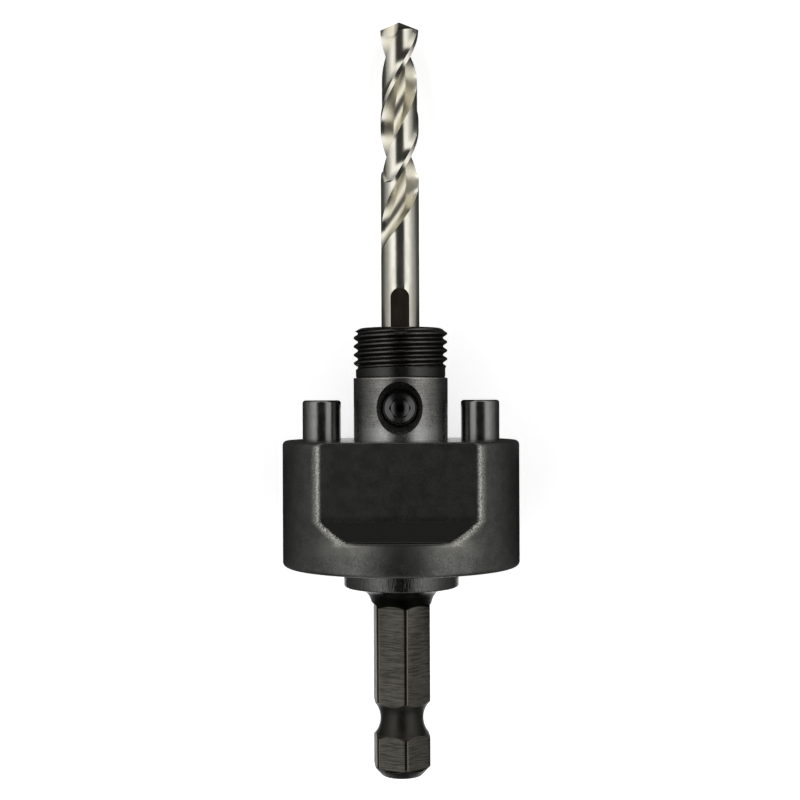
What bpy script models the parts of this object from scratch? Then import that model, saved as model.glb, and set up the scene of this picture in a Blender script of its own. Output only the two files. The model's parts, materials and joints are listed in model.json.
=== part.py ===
"""Hole saw arbor: a hex shank mandrel, a sliding drive collar with two pins, and a pilot drill.

The arbor is modelled upright, in metres. Heights run along its axis from the end of the
shank, and its front, which carries the set screw, faces -Y. It is then laid down as it comes
to rest on a table: on the rim of its collar and the tip of its drill, with the front upward.
"""

import math

import bmesh
import bpy
from mathutils import Vector

MM = 0.001

# Shank: a turned bar with six milled flats and a groove for a quick-change chuck
SHANK_LENGTH = 31.36 * MM
SHANK_DIAMETER = 9.93 * MM
SHANK_END_DIAMETER = 6.6 * MM
SHANK_CHAMFER = 1.65 * MM
SHANK_FILLET = 3.2 * MM
HEX_ACROSS_FLATS = 8.85 * MM
HEX_LENGTH = 28.83 * MM
HEX_MILL_DIAMETER = 13.0 * MM
HEX_TURN = math.radians(9.3)
GROOVE_HEIGHT = 9.5 * MM
GROOVE_NECK_DIAMETER = 7.14 * MM
GROOVE_RADIUS = 3.9 * MM

# Flange, drive block, hub and threaded nose, one above the other
FLANGE_DIAMETER = 19.07 * MM
FLANGE_THICKNESS = 3.46 * MM
FLANGE_EDGE = 0.35 * MM
BLOCK_HEIGHT = 16.38 * MM
BLOCK_FLAT_DEPTH = 1.385 * MM
HUB_DIAMETER = 15.67 * MM
HUB_LENGTH = 31.18 * MM
HUB_EDGE = 0.15 * MM
UNDERCUT_DIAMETER = 14.9 * MM
UNDERCUT_LENGTH = 2.45 * MM
THREAD_DIAMETER = 15.6 * MM
THREAD_LENGTH = 5.8 * MM
NOSE_DIAMETER = 13.4 * MM
NOSE_CHAMFER = 0.65 * MM

# Drive collar with a wrench flat at the front and one at the back
COLLAR_DIAMETER = 39.33 * MM
COLLAR_HEIGHT = 20.75 * MM
COLLAR_EDGE = 0.75 * MM
COLLAR_FIT = 0.15 * MM
COLLAR_SEAT_GAP = 0.1 * MM
SOCKET_HEADROOM = 1.5 * MM
WRENCH_ACROSS_FLATS = 30.0 * MM
RIM_HEIGHT = 5.35 * MM
RAMP_HEIGHT = 3.0 * MM
RAMP_DEPTH = 2.65 * MM

# Drive pins pressed into the collar
PIN_DIAMETER = 6.4 * MM
PIN_SPACING = 26.4 * MM
PIN_STAND = 6.66 * MM
PIN_SEAT_DEPTH = 14.5 * MM
PIN_EDGE = 0.45 * MM
PIN_FIT = 0.05 * MM
PIN_SEAT_GAP = 0.1 * MM

# Pilot drill with two flutes, held in the bore of the mandrel
DRILL_DIAMETER = 6.35 * MM
DRILL_LENGTH = 82.55 * MM
DRILL_POINT_ANGLE = math.radians(135.0)
DRILL_LEAD = 33.3 * MM
DRILL_WEB = 1.3 * MM
DRILL_FLUTE_RADIUS = 2.54 * MM
DRILL_FLUTE_LENGTH = 25.0 * MM
DRILL_WHEEL_RADIUS = 30.0 * MM
DRILL_BACKED_OFF = 0.25 * MM
DRILL_BACKED_OFF_LENGTH = 25.7 * MM
DRILL_MARGIN = math.radians(14.0)
DRILL_MARGIN_STEP = math.radians(1.5)
DRILL_LEAST_OPENING = math.radians(6.0)
DRILL_CLEARANCE_ANGLE = math.radians(10.0)
DRILL_TAIL_CHAMFER = 0.5 * MM
DRILL_FIT = 0.1 * MM
DRILL_TAIL_GAP = 0.3 * MM
BORE_DEPTH = 31.85 * MM
BORE_POINT_ANGLE = math.radians(118.0)
SCREW_FLAT_WIDTH = 3.1 * MM
SCREW_FLAT_DEPTH = 0.42 * MM
SCREW_FLAT_END = 38.1 * MM

# Set screw in the hub, with a socket for a hex key
SCREW_BELOW_SHOULDER = 5.0 * MM
SCREW_DIAMETER = 5.7 * MM
SCREW_LENGTH = 3.175 * MM
SCREW_CHAMFER = 0.35 * MM
SCREW_FIT = 0.1 * MM
SCREW_POINT_GAP = 0.25 * MM
SCREW_KEY = 3.175 * MM
SCREW_KEY_DEPTH = 1.7 * MM
COUNTERSINK_DIAMETER = 8.6 * MM
COUNTERSINK_ANGLE = math.radians(60.0)

# Spring ball at the back of the drive block, which keeps the collar where it is pushed
BALL_DIAMETER = 3.0 * MM
BALL_FIT = 0.1 * MM
BALL_WALL_GAP = 0.1 * MM
BALL_BELOW_BLOCK_TOP = 2.9 * MM
POCKET_DEPTH = 5.1 * MM
SPRING_WIRE = 0.35 * MM
SPRING_DIAMETER = 2.25 * MM
SPRING_TURNS = 4
SPRING_GAP = 0.05 * MM

# Facets round each turned piece, and points along the curves
MANDREL_FACETS = 48
COLLAR_FACETS = 64
PIN_FACETS = 32
SCREW_FACETS = 32
POCKET_FACETS = 24
BALL_FACETS = 16
ARC_STEPS = 6
FLUTE_STEPS = 8
LAND_STEPS = 5
DRILL_STEP = 1.1 * MM
SPRING_POINTS_PER_TURN = 12

# Cutters reach this far past what they cut
OVERCUT = 1.0 * MM

# Heights and radii that follow from the sizes above
FLANGE_TOP = SHANK_LENGTH + FLANGE_THICKNESS
BLOCK_TOP = FLANGE_TOP + BLOCK_HEIGHT
BLOCK_ACROSS_FLATS = FLANGE_DIAMETER - 2 * BLOCK_FLAT_DEPTH
SHOULDER = FLANGE_TOP + HUB_LENGTH
THREAD_START = SHOULDER + UNDERCUT_LENGTH
NOSE_TOP = THREAD_START + THREAD_LENGTH
COLLAR_BOTTOM = FLANGE_TOP + COLLAR_SEAT_GAP
COLLAR_TOP = COLLAR_BOTTOM + COLLAR_HEIGHT
BORE_BOTTOM = NOSE_TOP - BORE_DEPTH
DRILL_TAIL = BORE_BOTTOM + DRILL_TAIL_GAP
DRILL_TIP = DRILL_TAIL + DRILL_LENGTH
DRILL_RADIUS = DRILL_DIAMETER / 2
DRILL_CORNER = DRILL_TIP - DRILL_RADIUS / math.tan(DRILL_POINT_ANGLE / 2)
FLUTE_RUNOUT = DRILL_CORNER - DRILL_FLUTE_LENGTH
FLUTE_END = FLUTE_RUNOUT - math.sqrt(DRILL_WHEEL_RADIUS * (DRILL_DIAMETER - DRILL_WEB))
BACKED_OFF_END = DRILL_CORNER - DRILL_BACKED_OFF_LENGTH
SCREW_HEIGHT = SHOULDER - SCREW_BELOW_SHOULDER
SCREW_POINT = DRILL_RADIUS - SCREW_FLAT_DEPTH + SCREW_POINT_GAP
POCKET_HEIGHT = BLOCK_TOP - BALL_BELOW_BLOCK_TOP
POCKET_BOTTOM = FLANGE_DIAMETER / 2 - POCKET_DEPTH
SOCKET_RADIUS = FLANGE_DIAMETER / 2 + COLLAR_FIT
BALL_CENTRE = SOCKET_RADIUS - BALL_WALL_GAP - BALL_DIAMETER / 2


def clear_scene():
    """Remove every object of the open file."""
    for obj in list(bpy.data.objects):
        bpy.data.objects.remove(obj, do_unlink=True)


def new_collection(name):
    """A collection linked to the scene."""
    collection = bpy.data.collections.new(name)
    bpy.context.scene.collection.children.link(collection)
    return collection


def new_material(name, colour, roughness):
    """A plain metal of one colour."""
    material = bpy.data.materials.new(name)
    material.use_nodes = True
    shader = material.node_tree.nodes["Principled BSDF"]
    shader.inputs["Base Color"].default_value = (*colour, 1.0)
    shader.inputs["Metallic"].default_value = 1.0
    shader.inputs["Roughness"].default_value = roughness
    return material


def add_object(name, data, parent, collection):
    """A new object under the arbor's empty."""
    obj = bpy.data.objects.new(name, data)
    collection.objects.link(obj)
    obj.parent = parent
    return obj


def arc(centre, radius, start, end, steps=ARC_STEPS):
    """Points of a circular arc in the (radius, height) plane, its two ends included."""
    points = []
    for step in range(steps + 1):
        angle = start + (end - start) * step / steps
        points.append((centre[0] + radius * math.cos(angle), centre[1] + radius * math.sin(angle)))
    return points


def turned(name, profile, facets, parent, collection, closed=False):
    """A piece turned about Z from a profile of (radius, height) points, outer side downward.

    The profile starts half a facet round, so that flat facets face the four sides.
    """
    start = math.pi / facets
    verts = [(r * math.cos(start), r * math.sin(start), z) for r, z in profile]
    edges = [(i, i + 1) for i in range(len(verts) - 1)]
    if closed:
        edges.append((len(verts) - 1, 0))
    mesh = bpy.data.meshes.new(name)
    mesh.from_pydata(verts, edges, [])
    obj = add_object(name, mesh, parent, collection)
    screw = obj.modifiers.new("Turn", "SCREW")
    screw.axis = "Z"
    screw.angle = 2 * math.pi
    screw.steps = facets
    screw.render_steps = facets
    screw.use_merge_vertices = True
    screw.merge_threshold = 0.001 * MM
    screw.use_smooth_shade = False
    return obj


def prism(name, outline, start, end, parent, collection):
    """A prism on a flat outline of (x, y) points, from height start to height end."""
    bm = bmesh.new()
    face = bm.faces.new([bm.verts.new((x, y, start)) for x, y in outline])
    raised = bmesh.ops.extrude_face_region(bm, geom=[face])["geom"]
    top = [item for item in raised if isinstance(item, bmesh.types.BMVert)]
    bmesh.ops.translate(bm, vec=(0.0, 0.0, end - start), verts=top)
    bmesh.ops.recalc_face_normals(bm, faces=bm.faces)
    mesh = bpy.data.meshes.new(name)
    bm.to_mesh(mesh)
    bm.free()
    return add_object(name, mesh, parent, collection)


def cut(piece, cutter):
    """Cut one solid out of another."""
    cutter.hide_render = True
    cutter.display_type = "WIRE"
    boolean = piece.modifiers.new("Cut " + cutter.name, "BOOLEAN")
    boolean.operation = "DIFFERENCE"
    boolean.solver = "EXACT"
    boolean.object = cutter


def facing(obj, turn):
    """Stand a prism outward from the axis, turned about it from the front.

    Its outline's x then runs round the arbor, its y runs up the arbor, and its height
    is the distance from the axis.
    """
    obj.rotation_euler = (math.pi / 2, 0.0, turn)


def round_ended_slot(width, bottom, top):
    """Outline of a slot with a round upper end, as an end mill leaves it."""
    radius = width / 2
    crown = arc((0.0, top - radius), radius, 0.0, math.pi, 2 * ARC_STEPS)
    return [(-radius, bottom), (radius, bottom)] + crown


def mandrel_profile():
    """Outer shape of the mandrel, from its nose down to the end of the shank."""
    shank = SHANK_DIAMETER / 2
    flange = FLANGE_DIAMETER / 2
    fillet_centre = (shank + SHANK_FILLET, SHANK_LENGTH - SHANK_FILLET)
    groove_centre = (GROOVE_NECK_DIAMETER / 2 + GROOVE_RADIUS, GROOVE_HEIGHT)
    groove_reach = math.acos((groove_centre[0] - shank) / GROOVE_RADIUS)
    runout = (THREAD_DIAMETER - UNDERCUT_DIAMETER) / 2
    points = [(0.0, NOSE_TOP), (NOSE_DIAMETER / 2, NOSE_TOP)]
    points += [(THREAD_DIAMETER / 2, NOSE_TOP - NOSE_CHAMFER), (THREAD_DIAMETER / 2, THREAD_START)]
    points += [(UNDERCUT_DIAMETER / 2, THREAD_START - runout), (UNDERCUT_DIAMETER / 2, SHOULDER)]
    points += [(HUB_DIAMETER / 2 - HUB_EDGE, SHOULDER), (HUB_DIAMETER / 2, SHOULDER - HUB_EDGE)]
    points += [(HUB_DIAMETER / 2, BLOCK_TOP), (flange, BLOCK_TOP)]
    points += arc((flange - FLANGE_EDGE, SHANK_LENGTH + FLANGE_EDGE), FLANGE_EDGE, 0.0, -math.pi / 2, 3)
    points += arc(fillet_centre, SHANK_FILLET, math.pi / 2, math.pi)
    points += arc(groove_centre, GROOVE_RADIUS, math.pi - groove_reach, math.pi + groove_reach, 8)
    points += [(shank, SHANK_CHAMFER), (SHANK_END_DIAMETER / 2, 0.0), (0.0, 0.0)]
    return points


def make_mandrel(parent, parts, cutters):
    """Shank, flange, drive block, hub and nose, turned from one bar and then milled."""
    mandrel = turned("mandrel", mandrel_profile(), MANDREL_FACETS, parent, parts)

    slot = round_ended_slot(HEX_MILL_DIAMETER, -OVERCUT, HEX_LENGTH)
    for side in range(6):
        name = f"hex_flat_cutter_{side + 1}"
        flat = prism(name, slot, HEX_ACROSS_FLATS / 2, SHANK_DIAMETER / 2 + OVERCUT, parent, cutters)
        facing(flat, HEX_TURN + math.radians(30 + 60 * side))
        cut(mandrel, flat)

    inner = BLOCK_ACROSS_FLATS / 2
    outer = FLANGE_DIAMETER / 2 + OVERCUT
    for side, name in ((-1, "block_flat_cutter_left"), (1, "block_flat_cutter_right")):
        outline = [(side * inner, -outer), (side * outer, -outer)]
        outline += [(side * outer, outer), (side * inner, outer)]
        flat = prism(name, outline, FLANGE_TOP, BLOCK_TOP + OVERCUT, parent, cutters)
        cut(mandrel, flat)

    bore = DRILL_RADIUS + DRILL_FIT
    cone = bore / math.tan(BORE_POINT_ANGLE / 2)
    profile = [(0.0, NOSE_TOP + OVERCUT), (bore, NOSE_TOP + OVERCUT), (bore, BORE_BOTTOM)]
    profile += [(0.0, BORE_BOTTOM - cone)]
    cut(mandrel, turned("pilot_bore_cutter", profile, MANDREL_FACETS, parent, cutters))

    hole = SCREW_DIAMETER / 2 + SCREW_FIT
    sink = COUNTERSINK_DIAMETER / 2
    slope = math.tan(COUNTERSINK_ANGLE / 2)
    surface = HUB_DIAMETER / 2
    profile = [(0.0, surface + OVERCUT), (sink + OVERCUT * slope, surface + OVERCUT)]
    profile += [(hole, surface - (sink - hole) / slope), (hole, 0.0), (0.0, 0.0)]
    hole_cutter = turned("screw_hole_cutter", profile, SCREW_FACETS, parent, cutters)
    hole_cutter.location.z = SCREW_HEIGHT
    hole_cutter.rotation_euler.x = math.pi / 2
    cut(mandrel, hole_cutter)

    pocket = BALL_DIAMETER / 2 + BALL_FIT
    profile = [(0.0, FLANGE_DIAMETER / 2 + OVERCUT), (pocket, FLANGE_DIAMETER / 2 + OVERCUT)]
    profile += [(pocket, POCKET_BOTTOM), (0.0, POCKET_BOTTOM)]
    pocket_cutter = turned("ball_pocket_cutter", profile, POCKET_FACETS, parent, cutters)
    pocket_cutter.location.z = POCKET_HEIGHT
    pocket_cutter.rotation_euler.x = -math.pi / 2
    cut(mandrel, pocket_cutter)
    return mandrel


def double_d(radius, half_width, steps=16):
    """Outline of a circle with two flats that face left and right."""
    reach = math.acos(half_width / radius)
    back = arc((0.0, 0.0), radius, reach, math.pi - reach, steps)
    front = arc((0.0, 0.0), radius, math.pi + reach, 2 * math.pi - reach, steps)
    return back + front


def wrench_flat_outline():
    """What a wrench flat takes off the collar, as (distance from the axis, height) points."""
    floor = WRENCH_ACROSS_FLATS / 2
    ledge = COLLAR_BOTTOM + RIM_HEIGHT
    outer = COLLAR_DIAMETER / 2 + OVERCUT
    return [
        (floor, COLLAR_TOP + OVERCUT),
        (floor, ledge + RAMP_HEIGHT),
        (floor + RAMP_DEPTH, ledge),
        (outer, ledge),
        (outer, COLLAR_TOP + OVERCUT),
    ]


def make_collar(parent, parts, cutters):
    """The drive collar: a turned ring with a double-D socket, two wrench flats and pin holes."""
    bore = HUB_DIAMETER / 2 + COLLAR_FIT
    outer = COLLAR_DIAMETER / 2
    edge = COLLAR_EDGE
    profile = [(bore, COLLAR_TOP)]
    profile += arc((outer - edge, COLLAR_TOP - edge), edge, math.pi / 2, 0.0, 3)
    profile += arc((outer - edge, COLLAR_BOTTOM + edge), edge, 0.0, -math.pi / 2, 3)
    profile += [(bore, COLLAR_BOTTOM)]
    collar = turned("drive_collar", profile, COLLAR_FACETS, parent, parts, closed=True)

    outline = double_d(SOCKET_RADIUS, BLOCK_ACROSS_FLATS / 2 + COLLAR_FIT)
    top = BLOCK_TOP + SOCKET_HEADROOM
    cut(collar, prism("socket_cutter", outline, COLLAR_BOTTOM - OVERCUT, top, parent, cutters))

    for side, name in ((0, "wrench_flat_cutter_front"), (1, "wrench_flat_cutter_back")):
        flat = prism(name, wrench_flat_outline(), -outer, outer, parent, cutters)
        flat.rotation_euler = (math.pi / 2, 0.0, -math.pi / 2 + side * math.pi)
        cut(collar, flat)

    hole = PIN_DIAMETER / 2 + PIN_FIT
    profile = [(0.0, COLLAR_TOP + OVERCUT), (hole, COLLAR_TOP + OVERCUT)]
    profile += [(hole, COLLAR_TOP - PIN_SEAT_DEPTH), (0.0, COLLAR_TOP - PIN_SEAT_DEPTH)]
    for side, name in ((-1, "pin_hole_cutter_left"), (1, "pin_hole_cutter_right")):
        hole_cutter = turned(name, profile, PIN_FACETS, parent, cutters)
        hole_cutter.location.x = side * PIN_SPACING / 2
        cut(collar, hole_cutter)
    return collar


def make_pins(parent, parts):
    """The two drive pins, which stand in the collar and enter the back of the saw."""
    radius = PIN_DIAMETER / 2
    top = COLLAR_TOP + PIN_STAND
    bottom = COLLAR_TOP - PIN_SEAT_DEPTH + PIN_SEAT_GAP
    profile = [(0.0, top)]
    profile += arc((radius - PIN_EDGE, top - PIN_EDGE), PIN_EDGE, math.pi / 2, 0.0, 3)
    profile += [(radius, bottom + PIN_EDGE), (radius - PIN_EDGE, bottom), (0.0, bottom)]
    pins = []
    for side, name in ((-1, "drive_pin_left"), (1, "drive_pin_right")):
        pin = turned(name, profile, PIN_FACETS, parent, parts)
        pin.location.x = side * PIN_SPACING / 2
        pins.append(pin)
    return pins


def flute_half_angle(core):
    """Half the angle that a flute opens at the drill's surface, for a given core radius."""
    centre = core + DRILL_FLUTE_RADIUS
    reach = DRILL_RADIUS ** 2 + centre ** 2 - DRILL_FLUTE_RADIUS ** 2
    return math.acos(min(1.0, reach / (2 * DRILL_RADIUS * centre)))


def core_radius(height):
    """Core of the drill at a height: even along the flutes, then rising where they run out."""
    runout = max(0.0, FLUTE_RUNOUT - height)
    return DRILL_WEB / 2 + runout ** 2 / (2 * DRILL_WHEEL_RADIUS)


def land_radius(behind, height):
    """Radius of a land, at an angle behind its cutting edge: full on the margin only."""
    backed_off = height > BACKED_OFF_END and behind > DRILL_MARGIN
    return DRILL_RADIUS - (DRILL_BACKED_OFF if backed_off else 0.0)


def half_section(height):
    """Half of the drill's section, from one cutting edge back round to the other.

    Each point is (radius, angle from the cutting edge at full depth, drop of the ground
    point there). The point's flanks fall away from each cutting edge to the heel behind it.
    """
    core = core_radius(height)
    middle = flute_half_angle(DRILL_WEB / 2)
    opening = max(flute_half_angle(core), DRILL_LEAST_OPENING)
    edge = middle - opening
    land = math.pi - 2 * opening
    centre = core + DRILL_FLUTE_RADIUS
    fall = land * math.tan(DRILL_CLEARANCE_ANGLE)
    points = []
    for step in range(1, FLUTE_STEPS):
        share = step / FLUTE_STEPS
        angle = opening * (2 * share - 1)
        across = centre * math.cos(angle)
        inside = across ** 2 - centre ** 2 + DRILL_FLUTE_RADIUS ** 2
        radius = min(across - math.sqrt(max(0.0, inside)), DRILL_RADIUS)
        points.append((radius, middle + angle, radius * fall * share))
    step_back = DRILL_MARGIN + DRILL_MARGIN_STEP
    backs = [step_back + (land - step_back) * (1 - step / LAND_STEPS) for step in range(LAND_STEPS + 1)]
    for back in backs + [DRILL_MARGIN, DRILL_MARGIN / 2, 0.0]:
        radius = land_radius(back, height)
        points.append((radius, edge + math.pi - back, radius * fall * back / land))
    return points


def drill_ring(height, radius_cut=0.0, at_point=False):
    """The drill's section at a height, twisted to its place along the flutes.

    At the point, every vertex drops from the tip down the ground cone to its own height.
    """
    ring = []
    for turn in (0.0, math.pi):
        for radius, angle, drop in half_section(height):
            z = height
            if at_point:
                z = DRILL_TIP - radius / math.tan(DRILL_POINT_ANGLE / 2) - drop
            angle += turn + (max(z, FLUTE_END) - DRILL_CORNER) * 2 * math.pi / DRILL_LEAD
            radius -= radius_cut
            ring.append((radius * math.cos(angle), radius * math.sin(angle), z))
    return ring


def drill_rings():
    """All sections of the drill from its tail to its point, the last one on the ground cone."""
    point = drill_ring(DRILL_CORNER, at_point=True)
    highest = min(z for x, y, z in point) - DRILL_STEP / 2
    count = round((highest - FLUTE_END) / DRILL_STEP)
    heights = [FLUTE_END + (highest - FLUTE_END) * step / count for step in range(count + 1)]
    heights = [z for z in heights if abs(z - BACKED_OFF_END) > DRILL_BACKED_OFF]
    heights += [BACKED_OFF_END, BACKED_OFF_END + DRILL_BACKED_OFF]
    rings = [drill_ring(DRILL_TAIL, DRILL_TAIL_CHAMFER), drill_ring(DRILL_TAIL + DRILL_TAIL_CHAMFER)]
    rings += [drill_ring(z) for z in sorted(heights)]
    return rings + [point]


def make_drill(parent, parts, cutters):
    """The pilot drill: twisted flutes lofted through their sections, and a flat for the screw."""
    rings = drill_rings()
    bm = bmesh.new()
    loops = [[bm.verts.new(point) for point in ring] for ring in rings]
    for lower, upper in zip(loops, loops[1:]):
        for i in range(len(lower)):
            j = (i + 1) % len(lower)
            bm.faces.new((lower[i], lower[j], upper[j], upper[i]))
    bm.faces.new(loops[0])
    tip = bm.verts.new((0.0, 0.0, DRILL_TIP))
    for i in range(len(loops[-1])):
        bm.faces.new((loops[-1][i], loops[-1][(i + 1) % len(loops[-1])], tip))
    bmesh.ops.triangulate(bm, faces=bm.faces)
    bmesh.ops.recalc_face_normals(bm, faces=bm.faces)
    mesh = bpy.data.meshes.new("pilot_drill")
    bm.to_mesh(mesh)
    bm.free()
    drill = add_object("pilot_drill", mesh, parent, parts)

    slot = round_ended_slot(SCREW_FLAT_WIDTH, DRILL_TAIL - OVERCUT, DRILL_TAIL + SCREW_FLAT_END)
    floor = DRILL_RADIUS - SCREW_FLAT_DEPTH
    flat = prism("screw_flat_cutter", slot, floor, DRILL_RADIUS + OVERCUT, parent, cutters)
    facing(flat, 0.0)
    cut(drill, flat)
    return drill


def make_set_screw(parent, parts, cutters):
    """The set screw that clamps the drill, made along Z and pointed in from the front."""
    radius = SCREW_DIAMETER / 2
    top = SCREW_POINT + SCREW_LENGTH
    profile = [(0.0, top), (radius - SCREW_CHAMFER, top), (radius, top - SCREW_CHAMFER)]
    profile += [(radius, SCREW_POINT + SCREW_CHAMFER), (radius - SCREW_CHAMFER, SCREW_POINT)]
    profile += [(0.0, SCREW_POINT)]
    screw = turned("set_screw", profile, SCREW_FACETS, parent, parts)

    corner = SCREW_KEY / 2 / math.cos(math.pi / 6)
    hexagon = [(corner * math.cos(math.pi * k / 3), corner * math.sin(math.pi * k / 3)) for k in range(6)]
    socket = prism("key_socket_cutter", hexagon, top - SCREW_KEY_DEPTH, top + OVERCUT, parent, cutters)
    cut(screw, socket)
    for obj in (screw, socket):
        obj.location.z = SCREW_HEIGHT
        obj.rotation_euler.x = math.pi / 2
    return screw


def make_ball(parent, parts):
    """The ball that rubs on the collar's socket."""
    bm = bmesh.new()
    facets = BALL_FACETS
    bmesh.ops.create_uvsphere(bm, u_segments=facets, v_segments=facets // 2, radius=BALL_DIAMETER / 2)
    mesh = bpy.data.meshes.new("friction_ball")
    bm.to_mesh(mesh)
    bm.free()
    ball = add_object("friction_ball", mesh, parent, parts)
    ball.location = (0.0, BALL_CENTRE, POCKET_HEIGHT)
    return ball


def make_spring(parent, parts):
    """The coil spring behind the ball, wound along Z and laid into its pocket."""
    wire = SPRING_WIRE / 2
    winding = SPRING_DIAMETER / 2 - wire
    bottom = POCKET_BOTTOM + SPRING_GAP + wire
    reach = BALL_DIAMETER / 2 + wire + SPRING_GAP
    top = BALL_CENTRE - math.sqrt(reach ** 2 - winding ** 2)
    count = SPRING_TURNS * SPRING_POINTS_PER_TURN
    curve = bpy.data.curves.new("ball_spring", "CURVE")
    curve.dimensions = "3D"
    curve.bevel_depth = wire
    curve.bevel_resolution = 2
    curve.use_fill_caps = True
    curve.render_resolution_u = 0
    spline = curve.splines.new("POLY")
    spline.points.add(count)
    for i, point in enumerate(spline.points):
        angle = 2 * math.pi * i / SPRING_POINTS_PER_TURN
        height = bottom + (top - bottom) * i / count
        point.co = (winding * math.cos(angle), winding * math.sin(angle), height, 1.0)
    spring = add_object("ball_spring", curve, parent, parts)
    spring.location.z = POCKET_HEIGHT
    spring.rotation_euler.x = -math.pi / 2
    return spring


def evaluated_triangles(pieces):
    """Every triangle of the pieces, as three world points each."""
    bpy.context.view_layer.update()
    depsgraph = bpy.context.evaluated_depsgraph_get()
    triangles = []
    for piece in pieces:
        evaluated = piece.evaluated_get(depsgraph)
        mesh = evaluated.to_mesh()
        mesh.calc_loop_triangles()
        points = [piece.matrix_world @ vertex.co for vertex in mesh.vertices]
        triangles += [[points[i] for i in triangle.vertices] for triangle in mesh.loop_triangles]
        evaluated.to_mesh_clear()
    return triangles


def centre_of_volume(triangles):
    """Centre of the solids bounded by the triangles."""
    volume = 0.0
    moment = Vector()
    for a, b, c in triangles:
        share = a.dot(b.cross(c))
        volume += share
        moment += share * (a + b + c) / 4
    return moment / volume


def resting_tilt(triangles):
    """How far the axis dips towards the drill when the arbor lies on its back.

    The arbor's outline, seen from its side, rests on the edge of its hull that lies below
    the centre of volume.
    """
    centre = centre_of_volume(triangles)
    outline = sorted({(point.z, point.y) for triangle in triangles for point in triangle})
    hull = []
    for point in outline:
        while len(hull) > 1:
            (z0, y0), (z1, y1) = hull[-2:]
            if (z1 - z0) * (point[1] - y0) - (y1 - y0) * (point[0] - z0) < 0:
                break
            hull.pop()
        hull.append(point)
    for (z0, y0), (z1, y1) in zip(hull, hull[1:]):
        along = (centre.z - z0) * (z1 - z0) + (centre.y - y0) * (y1 - y0)
        lying = z1 - z0 > abs(y1 - y0)
        if lying and 0 <= along <= (z1 - z0) ** 2 + (y1 - y0) ** 2:
            return math.atan2(y0 - y1, z1 - z0)
    return 0.0


def lay_down(arbor, pieces):
    """Lay the arbor on the ground, drill towards +Y, with the middle of its box over the origin."""
    arbor.rotation_euler.x = -math.pi / 2 - resting_tilt(evaluated_triangles(pieces))
    corners = [point for triangle in evaluated_triangles(pieces) for point in triangle]
    for axis in range(2):
        values = [point[axis] for point in corners]
        arbor.location[axis] = -(min(values) + max(values)) / 2
    arbor.location.z = -min(point.z for point in corners)
    bpy.context.view_layer.update()


def build():
    """Make every piece, give each its metal, and lay the arbor down."""
    clear_scene()
    parts = new_collection("hole_saw_arbor")
    cutters = new_collection("cutters")
    arbor = bpy.data.objects.new("arbor", None)
    parts.objects.link(arbor)

    blackened = new_material("blackened_steel", (0.035, 0.034, 0.031), 0.38)
    cast = new_material("blackened_collar", (0.035, 0.035, 0.034), 0.5)
    polished_black = new_material("polished_black_steel", (0.02, 0.02, 0.02), 0.25)
    bright = new_material("ground_tool_steel", (0.62, 0.6, 0.55), 0.22)
    spring_steel = new_material("spring_steel", (0.45, 0.45, 0.45), 0.3)

    finishes = [
        (make_mandrel(arbor, parts, cutters), blackened),
        (make_collar(arbor, parts, cutters), cast),
        (make_drill(arbor, parts, cutters), bright),
        (make_set_screw(arbor, parts, cutters), polished_black),
        (make_ball(arbor, parts), spring_steel),
        (make_spring(arbor, parts), spring_steel),
    ]
    finishes += [(pin, polished_black) for pin in make_pins(arbor, parts)]
    for piece, metal in finishes:
        piece.data.materials.append(metal)
    lay_down(arbor, [piece for piece, metal in finishes])


build()
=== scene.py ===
"""Looks of the hole saw arbor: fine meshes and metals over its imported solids, and the studio.

Lengths are in millimetres in the arbor's own frame, as in a workshop drawing: heights run up
its axis from the end of the shank, and its front, which carries the set screw, faces -Y.
ARBOR takes that frame to the world, where the arbor lies on the floor.
"""

import json
from math import acos, cos, pi, radians, sin, sqrt, tan

import bpy
from mathutils import Matrix, Vector


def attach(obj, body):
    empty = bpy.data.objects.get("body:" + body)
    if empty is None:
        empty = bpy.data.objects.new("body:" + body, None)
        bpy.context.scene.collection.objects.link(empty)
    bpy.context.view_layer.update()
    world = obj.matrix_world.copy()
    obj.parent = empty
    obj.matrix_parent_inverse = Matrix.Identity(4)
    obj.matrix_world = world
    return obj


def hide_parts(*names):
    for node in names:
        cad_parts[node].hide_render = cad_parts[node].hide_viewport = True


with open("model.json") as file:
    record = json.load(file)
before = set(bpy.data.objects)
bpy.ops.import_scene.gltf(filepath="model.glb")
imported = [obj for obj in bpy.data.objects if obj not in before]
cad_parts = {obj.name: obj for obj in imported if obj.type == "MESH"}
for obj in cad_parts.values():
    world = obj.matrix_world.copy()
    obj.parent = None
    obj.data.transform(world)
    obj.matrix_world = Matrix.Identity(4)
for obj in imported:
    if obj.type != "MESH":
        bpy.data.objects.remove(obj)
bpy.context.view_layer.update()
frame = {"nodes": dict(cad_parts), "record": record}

# A millimetre in metres, and how far a cutter reaches beyond what it cuts
MM = 0.001
OVERCUT = 1.0

# Mandrel
SHANK_LENGTH = 31.36
SHANK_RADIUS = 4.965
SHANK_END_RADIUS = 3.3
SHANK_CHAMFER = 1.65
SHANK_FILLET = 3.2
HEX_FLAT_DISTANCE = 8.85 / 2
HEX_SIDE_DEGREES = 60.0
HEX_LENGTH = 28.83
HEX_MILL_RADIUS = 6.5
HEX_TURN = radians(9.3)
GROOVE_HEIGHT = 9.5
GROOVE_NECK_RADIUS = 3.57
GROOVE_RADIUS = 3.9
GROOVE_REACH = 2.95
FLANGE_RADIUS = 9.535
FLANGE_TOP = 34.82
FLANGE_EDGE = 0.35
BLOCK_TOP = 51.2
BLOCK_EDGE = 0.2
BLOCK_HALF_WIDTH = 8.15
HUB_RADIUS = 7.835
HUB_EDGE = 0.15
HUB_FILLET = 0.3
SHOULDER = 66.0
UNDERCUT_RADIUS = 7.45
UNDERCUT_FILLET = 0.22
THREAD_START = 68.45
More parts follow.
